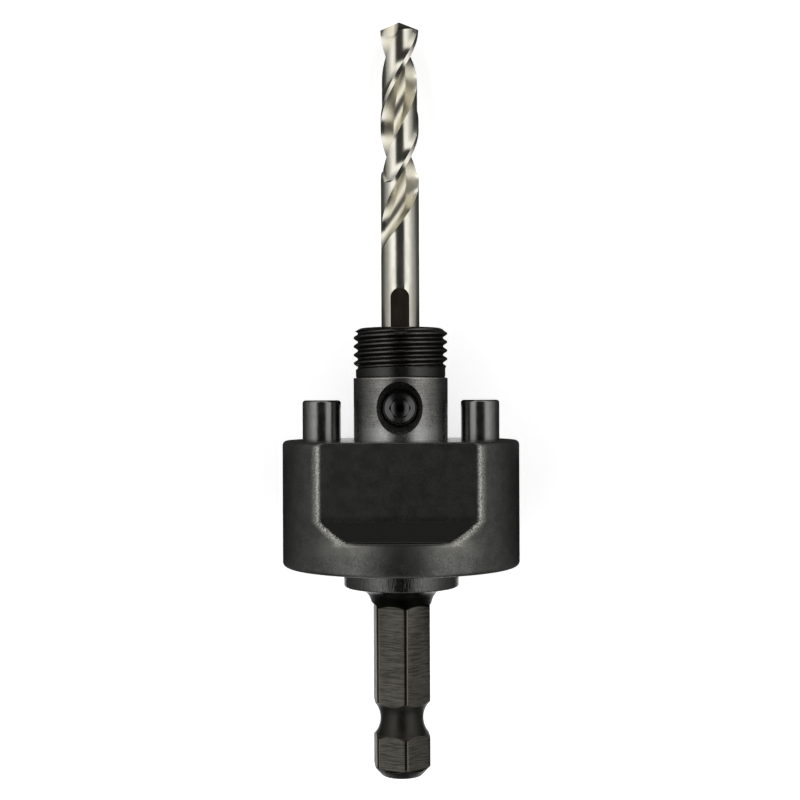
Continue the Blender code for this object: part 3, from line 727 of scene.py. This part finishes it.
class Nodes:
    """A material and short ways to build its nodes."""

    def __init__(self, name, color):
        self.material = bpy.data.materials.new(name)
        self.material.use_nodes = True
        self.tree = self.material.node_tree
        self.bsdf = self.tree.nodes["Principled BSDF"]
        self.feed(self.bsdf.inputs["Base Color"], color)

    def add(self, kind, **settings):
        node = self.tree.nodes.new(kind)
        for key, value in settings.items():
            setattr(node, key, value)
        return node

    def link(self, source, target):
        self.tree.links.new(source, target)

    def feed(self, socket, value):
        """Link an output, or write a plain number or colour."""
        if isinstance(value, bpy.types.NodeSocket):
            self.link(value, socket)
        elif isinstance(value, tuple):
            socket.default_value = (*value, 1.0)
        else:
            socket.default_value = value

    def math(self, operation, a, b=0.0, clamp=False):
        node = self.add("ShaderNodeMath", operation=operation, use_clamp=clamp)
        self.feed(node.inputs[0], a)
        self.feed(node.inputs[1], b)
        return node.outputs[0]

    def plus(self, a, b):
        return self.math("ADD", a, b)

    def minus(self, a, b):
        return self.math("SUBTRACT", a, b)

    def times(self, product, *factors):
        for factor in factors:
            product = self.math("MULTIPLY", product, factor)
        return product

    def larger(self, a, b):
        return self.math("MAXIMUM", a, b)

    def magnitude(self, value):
        return self.math("ABSOLUTE", value)

    def distance(self, a, b):
        """Length of a way whose two parts lie square to each other."""
        return self.math("SQRT", self.plus(self.times(a, a), self.times(b, b)))

    def fade(self, value, start, end, low=0.0, high=1.0, interpolation="SMOOTHSTEP"):
        """From low to high as the value goes from start to end, which may lie either way round."""
        node = self.add("ShaderNodeMapRange", interpolation_type=interpolation)
        self.feed(node.inputs["Value"], value)
        for key, number in (("From Min", start), ("From Max", end), ("To Min", low), ("To Max", high)):
            node.inputs[key].default_value = number
        return node.outputs["Result"]

    def band(self, value, start, end, soft):
        """One between two limits of a value, with soft ends, and zero outside them."""
        rise = self.fade(value, start - soft, start + soft)
        fall = self.fade(value, end - soft, end + soft, 1.0, 0.0)
        return self.times(rise, fall)

    def object_place(self):
        return self.add("ShaderNodeTexCoord").outputs["Object"]

    def parts(self, vector):
        """The x, y and z of a vector."""
        split = self.add("ShaderNodeSeparateXYZ")
        self.link(vector, split.inputs[0])
        return split.outputs


class Metal(Nodes):
    """One procedural metal, with object coordinates in millimetres."""

    def __init__(self, name, color, roughness):
        super().__init__(name, color)
        self.bsdf.inputs["Metallic"].default_value = 1.0
        self.bsdf.inputs["Roughness"].default_value = roughness
        place = self.add("ShaderNodeMapping", vector_type="TEXTURE")
        place.inputs["Location"].default_value = ORIGIN
        place.inputs["Rotation"].default_value = TURN.to_euler()
        place.inputs["Scale"].default_value = (MM, MM, MM)
        self.link(self.object_place(), place.inputs["Vector"])
        self.coords = place.outputs[0]
        self.x, self.y, self.z = self.parts(self.coords)

    def radius(self):
        """Distance from the arbor's axis."""
        return self.distance(self.x, self.y)

    def noise(self, scale, detail=3.0, roughness=0.55):
        """Noise with its own scale on each axis, in waves to the millimetre."""
        mapping = self.add("ShaderNodeMapping")
        self.link(self.coords, mapping.inputs["Vector"])
        mapping.inputs["Scale"].default_value = scale
        node = self.add("ShaderNodeTexNoise")
        self.link(mapping.outputs[0], node.inputs["Vector"])
        node.inputs["Scale"].default_value = 1.0
        node.inputs["Detail"].default_value = detail
        node.inputs["Roughness"].default_value = roughness
        return node.outputs["Fac"]

    def coats(self, color, *layers):
        """Colours laid over one another in turn, each as far as its own mask says."""
        for mask, coat in layers:
            node = self.add("ShaderNodeMix", data_type="RGBA")
            self.feed(node.inputs["Factor"], mask)
            self.feed(node.inputs[6], color)
            self.feed(node.inputs[7], coat)
            color = node.outputs[2]
        return color

    def edges(self, width):
        """How near the surface is to a bent edge, from zero to about a half on the edge."""
        bevel = self.add("ShaderNodeBevel", samples=6)
        bevel.inputs["Radius"].default_value = width * MM
        geometry = self.add("ShaderNodeNewGeometry")
        dot = self.add("ShaderNodeVectorMath", operation="DOT_PRODUCT")
        self.link(bevel.outputs[0], dot.inputs[0])
        self.link(geometry.outputs["Normal"], dot.inputs[1])
        return self.math("SUBTRACT", 1.0, dot.outputs["Value"], clamp=True)

    def bump(self, height, distance, strength, before=None):
        node = self.add("ShaderNodeBump")
        node.inputs["Strength"].default_value = strength
        node.inputs["Distance"].default_value = distance * MM
        self.link(height, node.inputs["Height"])
        if before is not None:
            self.link(before, node.inputs["Normal"])
        return node.outputs[0]

    def finish(self, color, roughness=None, normal=None):
        for key, value in (("Base Color", color), ("Roughness", roughness), ("Normal", normal)):
            if value is not None:
                self.link(value, self.bsdf.inputs[key])
        return self.material


def shank_color(steel, radius, shank, lines):
    """Shank: lined flats, painted highlight and shade lines at corners, dark groove, painted shade on fillet
    and end.
    """
    milled = steel.times(steel.fade(lines, 0.44, 0.60), shank, 0.8)
    flats = steel.band(steel.z, SHANK_CHAMFER + 0.1, HEX_LENGTH - 0.5, 0.1)
    near_corner = steel.times(flats, steel.fade(radius, SHANK_RADIUS - 0.12, SHANK_RADIUS - 0.08))
    turn = steel.math("ARCTAN2", steel.x, steel.times(steel.y, -1.0))
    sides = steel.math("DIVIDE", steel.minus(turn, HEX_TURN), radians(HEX_SIDE_DEGREES))
    from_corner = steel.times(steel.minus(sides, steel.math("ROUND", sides)), HEX_SIDE_DEGREES)
    # Painted highlight along one side of each corner's round strip, and painted shade along the other
    painted_highlight_line = steel.times(near_corner, steel.band(from_corner, *PAINTED_HIGHLIGHT_DEGREES, 0.3))
    painted_shade_line = steel.times(near_corner, steel.band(from_corner, *PAINTED_SHADE_DEGREES, 0.3))
    # Painted shade: the fillet from the hexagon's arched ends up to the flange is near black
    beyond_flat = steel.minus(steel.times(radius, radius), HEX_FLAT_DISTANCE ** 2)
    bow = steel.times(beyond_flat, 1 / (2 * HEX_MILL_RADIUS))
    arch = steel.fade(steel.plus(steel.z, bow), HEX_LENGTH - 0.5, HEX_LENGTH - 0.35)
    fillet = steel.times(arch, steel.fade(steel.z, SHANK_LENGTH - 0.1, SHANK_LENGTH, 1.0, 0.0))
    groove = steel.band(steel.z, GROOVE_HEIGHT - GROOVE_REACH, GROOVE_HEIGHT + GROOVE_REACH, 0.1)
    neck = steel.fade(radius, HEX_FLAT_DISTANCE - 0.075, HEX_FLAT_DISTANCE + 0.075, 1.0, 0.0)
    groove = steel.times(groove, neck)
    # Painted shade: the shank's end chamfer is darkened to near black
    end = steel.fade(steel.z, SHANK_CHAMFER - 0.2, SHANK_CHAMFER, 1.0, 0.0)
    return steel.coats(
        (0.105, 0.105, 0.099),
        (shank, (0.081, 0.077, 0.066)),
        (milled, (0.028, 0.026, 0.022)),
        (painted_highlight_line, (0.150, 0.138, 0.110)),
        (painted_shade_line, (0.014, 0.013, 0.011)),
        (fillet, (0.003, 0.003, 0.002)),
        (groove, (0.037, 0.036, 0.031)),
        (end, (0.004, 0.0035, 0.003)),
    )


def countersink(steel, radius):
    """One in the set screw's countersink and hole, and zero elsewhere."""
    around = steel.distance(steel.x, steel.minus(steel.z, SCREW_HEIGHT))
    inside = steel.times(steel.fade(around, SINK_RADIUS, SINK_RADIUS - 0.1), steel.fade(steel.y, -4.0, -5.0))
    return steel.times(inside, steel.fade(radius, HUB_RADIUS - 0.02, HUB_RADIUS - 0.08))


def nose_color(steel, color, radius, mottle):
    """The nose: black, with painted highlight lines along the thread's crests and roots."""
    nose = steel.fade(steel.z, SHOULDER - 0.02, SHOULDER + 0.02)
    above = steel.fade(steel.z, THREAD_START - 0.25, THREAD_START)
    cut = steel.fade(radius, UNDERCUT_RADIUS - 0.05, UNDERCUT_RADIUS - 0.11)
    thread = steel.times(steel.larger(above, cut), nose)
    crest = steel.fade(radius, THREAD_RADIUS - 0.06, THREAD_RADIUS - 0.02)
    root = steel.fade(radius, THREAD_ROOT + 0.06, THREAD_ROOT + 0.02)
    # Painted highlights: thin lighter lines along the thread's crests and roots
    light = steel.times(thread, steel.larger(crest, root), steel.fade(mottle, 0.35, 0.6, 0.5, 1.0))
    light = steel.times(light, steel.fade(radius, NOSE_RADIUS - 0.1, NOSE_RADIUS + 0.3))
    # Painted shade in the undercut's corner just above the hub's shoulder
    corner = steel.band(steel.z, SHOULDER, SHOULDER + 0.3, 0.05)
    corner = steel.times(corner, steel.fade(radius, HUB_RADIUS + 0.065, HUB_RADIUS - 0.135))
    return steel.coats(
        color,
        (nose, (0.024, 0.027, 0.029)),
        (thread, (0.014, 0.013, 0.012)),
        (light, (0.115, 0.110, 0.100)),
        (corner, (0.004, 0.004, 0.004)),
    )


def worn_and_highlit_edges(steel, radius, speckle):
    """Where the mandrel's edges are rubbed bright, with painted highlights along them: not at the bore, the
    shank's end or the fillet.
    """
    bent = steel.plus(steel.edges(0.14), steel.times(speckle, 0.05))
    worn = steel.fade(bent, 0.055, 0.13, 0.0, 0.8)
    outside = steel.fade(radius, BORE_RADIUS + 0.325, BORE_RADIUS + 0.525)
    worn = steel.times(worn, outside, steel.fade(steel.z, 0.5, 1.0))
    by_fillet = steel.band(steel.z, HEX_LENGTH - 1.5, SHANK_LENGTH, 0.3)
    worn = steel.times(worn, steel.minus(1.0, by_fillet))
    return steel.times(worn, steel.fade(steel.z, SHOULDER - 6.0, SHOULDER + 0.5, 1.0, 0.2))


def blackened_steel():
    """The mandrel: turned and pitted hub, brushed flange, lined hexagon, dark groove and thread."""
    steel = Metal("blackened_steel", (0.1, 0.097, 0.09), 0.36)
    radius = steel.radius()
    mottle = steel.noise((1.1, 1.1, 1.1), detail=6.0, roughness=0.65)
    speckle = steel.noise((4.5, 4.5, 6.0), roughness=0.65)
    lines = steel.noise((0.35, 0.35, 7.0), roughness=0.7)
    brushed = steel.noise((6.0, 6.0, 0.5), detail=2.0)
    pits = steel.noise((4.2, 4.2, 7.0), roughness=0.75)

    hub = steel.fade(steel.z, BLOCK_TOP - 0.2, BLOCK_TOP + 0.2)
    shank = steel.fade(steel.z, HEX_LENGTH + 1.4, HEX_LENGTH + 1.6, 1.0, 0.0)
    flange = steel.band(steel.z, SHANK_LENGTH - 0.1, FLANGE_TOP + 0.5, 0.1)
    sink = countersink(steel, radius)
    stain = steel.plus(steel.fade(mottle, 0.45, 0.75, 0.0, 0.2), steel.fade(pits, 0.42, 0.62, 0.0, 0.55))
    stain = steel.math("ADD", stain, steel.fade(lines, 0.42, 0.62, 0.0, 0.3), clamp=True)
    stain = steel.times(stain, steel.plus(hub, flange))
    # Painted highlight: the hub below the set screw is lighter, standing in for the collar's top reflected
    # there
    lower_painted_highlight = steel.fade(steel.z, SCREW_HEIGHT - 2.0, SCREW_HEIGHT - 4.5, 0.0, 0.55)
    lower_painted_highlight = steel.times(lower_painted_highlight, steel.minus(hub, sink))
    # Painted shade: the hub darkens towards its top
    upper = steel.times(steel.fade(steel.z, SCREW_HEIGHT - 4.0, SCREW_HEIGHT + 1.0, 0.0, 0.36), hub)
    # Painted shade: near black within the bore's radius, down the pilot bore and over the shank's end face
    bore = steel.fade(radius, BORE_RADIUS + 0.025, BORE_RADIUS + 0.325, 0.85, 0.0)
    # A light band just under the hub's top edge: partly wear, partly a painted highlight of its rounded edge
    lip_wear_and_highlight = steel.band(steel.z, SHOULDER - 0.22, SHOULDER, 0.03)
    lip_wear_and_highlight = steel.times(lip_wear_and_highlight, steel.fade(speckle, 0.35, 0.6, 0.3, 0.9))

    color = shank_color(steel, radius, shank, lines)
    color = steel.coats(color, (hub, (0.305, 0.303, 0.286)), (steel.times(sink, hub), (0.60, 0.59, 0.55)))
    color = nose_color(steel, color, radius, mottle)
    color = steel.coats(
        color,
        (stain, (0.060, 0.059, 0.056)),
        (lower_painted_highlight, (0.42, 0.425, 0.42)),
        (upper, (0.060, 0.058, 0.053)),
        (bore, (0.01, 0.01, 0.01)),
        (lip_wear_and_highlight, (0.36, 0.345, 0.30)),
        (worn_and_highlit_edges(steel, radius, speckle), (0.22, 0.185, 0.13)),
    )
    roughness = steel.plus(steel.fade(mottle, 0.3, 0.7, 0.26, 0.34), steel.times(shank, 0.08))
    roughness = steel.minus(roughness, steel.times(flange, 0.1))
    across = steel.times(lines, steel.larger(steel.times(shank, 1.6), hub))
    upright = steel.times(brushed, 2.2, flange)
    normal = steel.bump(steel.plus(across, upright), 0.035, 0.6)
    normal = steel.bump(speckle, 0.02, 0.5, normal)
    return steel.finish(color, roughness, normal)


def blackened_collar():
    """The collar: grainy dark steel, worn bright along its flats' edges, with painted highlights there too.
    """
    steel = Metal("blackened_collar", (0.06, 0.062, 0.062), 0.38)
    grain = steel.noise((4.5, 4.5, 4.5), detail=4.0, roughness=0.7)
    cloud = steel.noise((0.45, 0.45, 0.45), detail=4.0)
    speck = steel.noise((5.0, 5.0, 3.6), detail=4.0, roughness=0.75)
    aside = steel.magnitude(steel.x)

    rise = steel.fade(steel.z, LEDGE, RAMP_TOP, 1.0, 0.0, interpolation="LINEAR")
    flat = steel.plus(steel.times(rise, RAMP_DEPTH), FLAT_DISTANCE)
    from_turned = steel.times(steel.minus(COLLAR_RADIUS, steel.radius()), 2.2)
    from_flat = steel.times(steel.minus(flat, steel.magnitude(steel.y)), 0.8)
    away = steel.larger(steel.larger(from_turned, from_flat), steel.minus(LEDGE, steel.z))
    off_flat = steel.fade(steel.magnitude(from_flat), 0.1, 0.5)

    # Bright lines along the flats' edges: wear, and painted highlights of their rounded edges
    ragged = steel.plus(away, steel.times(steel.minus(speck, 0.5), 1.5))
    line = steel.fade(ragged, 0.22, 0.85, 0.95, 0.0)
    line = steel.times(line, steel.fade(steel.z, COLLAR_TOP - 0.8, COLLAR_TOP - 0.3, 1.0, 0.0))
    line = steel.times(line, steel.fade(grain, 0.40, 0.58, 0.1, 1.0))
    by_ledge = steel.fade(steel.z, LEDGE - 0.5, LEDGE + 0.3, 1.0, 0.0)
    line = steel.times(line, steel.larger(steel.fade(aside, 5.0, 9.5), steel.minus(1.0, by_ledge)))
    # Painted highlight on the rim below the ledge near the flats, with some wear
    glow = steel.fade(away, 0.3, 3.2, 0.4, 0.0)
    glow = steel.times(glow, steel.fade(steel.z, LEDGE - 0.1, LEDGE + 0.6, 1.0, 0.0))
    # Painted shade: the ramp below each flat is darkened
    ramp = steel.band(steel.z, LEDGE, RAMP_TOP, 0.12)
    ramp = steel.times(ramp, steel.fade(steel.magnitude(from_flat), 0.25, 0.08))
    # The collar's top face between the pins: smoother polish, and lighter as a painted reflection at grazing
    # view
    top = steel.fade(steel.z, COLLAR_TOP - 0.06, COLLAR_TOP - 0.02)
    top = steel.times(top, steel.fade(aside, 13.0, 11.0))
    bare = steel.times(steel.fade(speck, 0.52, 0.68, 0.0, 0.5), steel.larger(off_flat, 0.3))
    smudge = steel.band(steel.z, RAMP_TOP - 0.3, RAMP_TOP + 0.7, 0.5)
    smudge = steel.times(smudge, steel.fade(speck, 0.42, 0.56, 0.0, 0.75), steel.minus(1.0, off_flat))
    # Painted shade over the middle of the ledge's rounded edge, where it would catch light
    ledge_painted_shade = steel.band(steel.z, LEDGE - 0.35, LEDGE + 0.02, 0.05)
    ledge_painted_shade = steel.times(ledge_painted_shade, steel.fade(aside, 10.0, 6.0, 0.0, 0.85))

    color = steel.coats(
        (0.080, 0.081, 0.076),
        (steel.fade(cloud, 0.3, 0.7), (0.120, 0.121, 0.112)),
        (steel.fade(grain, 0.42, 0.66, 0.0, 0.7), (0.055, 0.057, 0.055)),
        (bare, (0.22, 0.215, 0.195)),
        (smudge, (0.03, 0.03, 0.028)),
        (glow, (0.17, 0.165, 0.145)),
        (ramp, (0.014, 0.014, 0.013)),
        (line, (0.42, 0.415, 0.38)),
        (ledge_painted_shade, (0.03, 0.03, 0.028)),
        (top, (0.17, 0.17, 0.165)),
    )
    roughness = steel.minus(steel.fade(grain, 0.3, 0.7, 0.32, 0.44), steel.times(top, 0.12))
    return steel.finish(color, roughness, steel.bump(grain, 0.03, 0.5))


def polished_black_steel():
    """Pins and set screw: smooth black steel, with painted shade down in the screw's socket."""
    steel = Metal("polished_black_steel", (0.05, 0.05, 0.05), 0.24)
    haze = steel.noise((1.3, 1.3, 0.6))
    screw = steel.fade(steel.magnitude(steel.x), 5.0, 6.0, 1.0, 0.0)
    # Painted shade: near black deeper than SCREW_DARK_DEPTH in the screw's socket
    deep = steel.fade(steel.y, SCREW_DARK_DEPTH - SCREW_TOP, SCREW_DARK_DEPTH - SCREW_TOP + 0.25)
    deep = steel.times(deep, steel.math("GREATER_THAN", screw, 0.2))
    color = steel.coats(
        (0.150, 0.153, 0.150),
        (steel.fade(haze, 0.35, 0.7), (0.190, 0.192, 0.185)),
        (steel.fade(steel.edges(0.2), 0.04, 0.2, 0.0, 0.5), (0.25, 0.25, 0.24)),
        (steel.times(screw, 0.8), (0.04, 0.04, 0.04)),
        (deep, (0.003, 0.003, 0.003)),
    )
    return steel.finish(color, steel.fade(haze, 0.3, 0.7, 0.19, 0.25))


def ground_tool_steel():
    """The pilot drill: bright ground steel, with fine grinding lines."""
    steel = Metal("ground_tool_steel", (0.6, 0.585, 0.52), 0.22)
    radius = steel.radius()
    lines = steel.noise((0.5, 0.5, 12.0), detail=2.0)
    haze = steel.noise((0.8, 0.8, 0.3))
    flute = steel.fade(radius, 2.9, 2.2)
    on_flat = steel.band(steel.y, -SCREW_FLAT_DISTANCE - 0.03, -SCREW_FLAT_DISTANCE + 0.03, 0.01)
    below_top = steel.fade(steel.z, SCREW_FLAT_TOP + 0.1, SCREW_FLAT_TOP - 0.1)
    inside = steel.fade(radius, DRILL_RADIUS - 0.015, DRILL_RADIUS - 0.075)
    on_flat = steel.times(on_flat, below_top, inside)
    color = steel.coats(
        (0.61, 0.595, 0.525),
        (steel.fade(haze, 0.35, 0.7), (0.55, 0.53, 0.45)),
        (flute, (0.65, 0.615, 0.50)),
        (on_flat, (0.27, 0.245, 0.19)),
    )
    roughness = steel.plus(steel.fade(haze, 0.3, 0.7, 0.17, 0.23), steel.times(flute, 0.14))
    return steel.finish(color, roughness, steel.bump(lines, 0.006, 0.5))


def spring_steel():
    """Ball and spring, plain bright steel."""
    steel = Metal("spring_steel", (0.6, 0.6, 0.6), 0.3)
    haze = steel.noise((0.9, 0.9, 0.9))
    return steel.finish(steel.coats((0.55, 0.55, 0.55), (haze, (0.64, 0.64, 0.63))))


def unlit(name, grey):
    """The nodes of a plain material without gloss, whose glow will be white."""
    nodes = Nodes(name, (grey, grey, grey))
    nodes.bsdf.inputs["Specular IOR Level"].default_value = 0.0
    nodes.bsdf.inputs["Emission Color"].default_value = (1.0, 1.0, 1.0, 1.0)
    return nodes


def paper_white():
    """Floor and backdrop: white paper that shows white and keeps the arbor's shadow near it."""
    paper = unlit("paper_white", PAPER_GREY)
    paper.bsdf.inputs["Roughness"].default_value = 1.0
    path = paper.add("ShaderNodeLightPath").outputs
    seen = paper.plus(path["Is Camera Ray"], path["Is Glossy Ray"])
    seen = paper.plus(seen, path["Is Transmission Ray"])
    length = paper.add("ShaderNodeVectorMath", operation="LENGTH")
    paper.link(paper.object_place(), length.inputs[0])
    glow = paper.times(seen, paper.fade(length.outputs["Value"], *PAPER_GLOW))
    paper.link(glow, paper.bsdf.inputs["Emission Strength"])
    return paper.material


def flag_grey(name, start=0.0, slope=0.0):
    """Cloth of a flag: black as far out as its start in metres, and greyer by the metre from there."""
    cloth = unlit(name, FLAG_BLACK)
    aside = cloth.magnitude(cloth.parts(cloth.object_place())["X"])
    beyond = cloth.larger(cloth.minus(aside, start), 0.0)
    grey = cloth.math("MINIMUM", cloth.times(beyond, slope), FLAG_BRIGHTEST)
    cloth.link(grey, cloth.bsdf.inputs["Emission Strength"])
    return cloth.material


# Studio

def backdrop(material):
    """A round white floor that curves up into a low wall, in the world, in metres."""
    profile = [(FLOOR_STEP * step, 0.0) for step in range(1, round(FLOOR_RADIUS / FLOOR_STEP) + 1)]
    profile += arc((FLOOR_RADIUS, WALL_CURVE), WALL_CURVE, -pi / 2, 0.0, 12)
    profile += [(FLOOR_RADIUS + WALL_CURVE, WALL_TOP)]
    floor = loft("floor", circles(profile, 64), start=0.0)
    floor.data.flip_normals()
    floor.data.shade_smooth()
    floor.data.materials.append(material)


def flag(name, inner, outer, low, high, material):
    """Two strips, left and right, that only reflections see, between (distance aside, height) limits."""
    verts = []
    for side in (-1, 1):
        for (x, z), y in ((inner, low), (outer, low), (outer, high), (inner, high)):
            verts.append((side * x, y, z))
    obj = add_object(name, verts, [(3, 2, 1, 0), (4, 5, 6, 7)])
    obj.data.materials.append(material)
    for ray in ("camera", "diffuse", "transmission", "volume_scatter", "shadow"):
        setattr(obj, f"visible_{ray}", False)


def softbox(name, start, end, radiance):
    """A long area lamp beside the arbor, between two angles round its axis from the camera's side."""
    azimuth = (start + end) / 2
    away = VIEW_FRONT * cos(azimuth) + VIEW_SIDE * sin(azimuth)
    across = AXIS.cross(away)
    lamp = bpy.data.lights.new(name, "AREA")
    lamp.shape = "RECTANGLE"
    lamp.size = 2 * SOFTBOX_DISTANCE * tan(abs(end - start) / 2)
    lamp.size_y = SOFTBOX_LENGTH
    lamp.energy = radiance * pi * lamp.size * lamp.size_y
    obj = bpy.data.objects.new(name, lamp)
    collection.objects.link(obj)
    place = Matrix((across, AXIS, away)).transposed().to_4x4()
    place.translation = ORIGIN + AXIS * VIEW_HEIGHT * MM + away * SOFTBOX_DISTANCE
    obj.matrix_world = place
    obj.visible_camera = False


def make_lights():
    """A softbox in strips on each side, and a dim room all round."""
    for side, name in ((-1, "left"), (1, "right")):
        start = SOFTBOX_START
        for strip, (end, radiance) in enumerate(SOFTBOX_STRIPS):
            turns = (side * radians(start), side * radians(end))
            softbox(f"softbox_{name}_{strip}", *turns, radiance)
            start = end
    world = bpy.data.worlds.new("room")
    world.use_nodes = True
    color = world.node_tree.nodes["Background"].inputs["Color"]
    color.default_value = (ROOM_GREY, ROOM_GREY, ROOM_GREY, 1.0)
    bpy.context.scene.world = world


def make_camera():
    """The photograph's camera, square to the arbor's axis."""
    lens = bpy.data.cameras.new("camera")
    lens.sensor_width = SENSOR_WIDTH
    lens.lens = FOCAL_PIXELS / PHOTO_SIZE * SENSOR_WIDTH
    lens.clip_start = 0.01
    camera = bpy.data.objects.new("camera", lens)
    collection.objects.link(camera)
    right = VIEW_SIDE * cos(VIEW_ROLL) - AXIS * sin(VIEW_ROLL)
    up = AXIS * cos(VIEW_ROLL) + VIEW_SIDE * sin(VIEW_ROLL)
    place = Matrix((right, up, VIEW_FRONT)).transposed().to_4x4()
    target = ORIGIN + (AXIS * VIEW_HEIGHT - VIEW_SIDE * VIEW_ASIDE) * MM
    place.translation = target + VIEW_FRONT * (FOCAL_PIXELS / PIXELS_PER_MM * MM)
    camera.matrix_world = place
    bpy.context.scene.camera = camera
    bpy.context.scene.view_settings.view_transform = "Standard"


def make_studio():
    """White backdrop, flags that keep it out of the metal's reflections, lights and camera."""
    backdrop(paper_white())
    for name, near, low, high, start, slope in FLOOR_FLAGS:
        cloth = flag_grey(f"{name}_grey", start, slope)
        flag(name, (near, FLAG_HEIGHT), (FLAG_REACH, FLAG_HEIGHT), low, high, cloth)
    foot, top = (FLAG_REACH, FLAG_HEIGHT), (FLAG_REACH, WALL_FLAG_TOP)
    flag("wall_flag", foot, top, -1.0, 1.0, flag_grey("wall_flag_grey"))
    make_lights()
    make_camera()


pins_metal = polished_black_steel()
make_mandrel(blackened_steel())
make_collar(blackened_collar())
make_pins(pins_metal)
make_drill(ground_tool_steel())
make_set_screw(pins_metal)
spring_metal = spring_steel()
for node_name in ("friction_ball", "ball_spring"):
    cad_piece = frame["nodes"][node_name]
    cad_piece.data.materials.clear()
    cad_piece.data.materials.append(spring_metal)
make_studio()
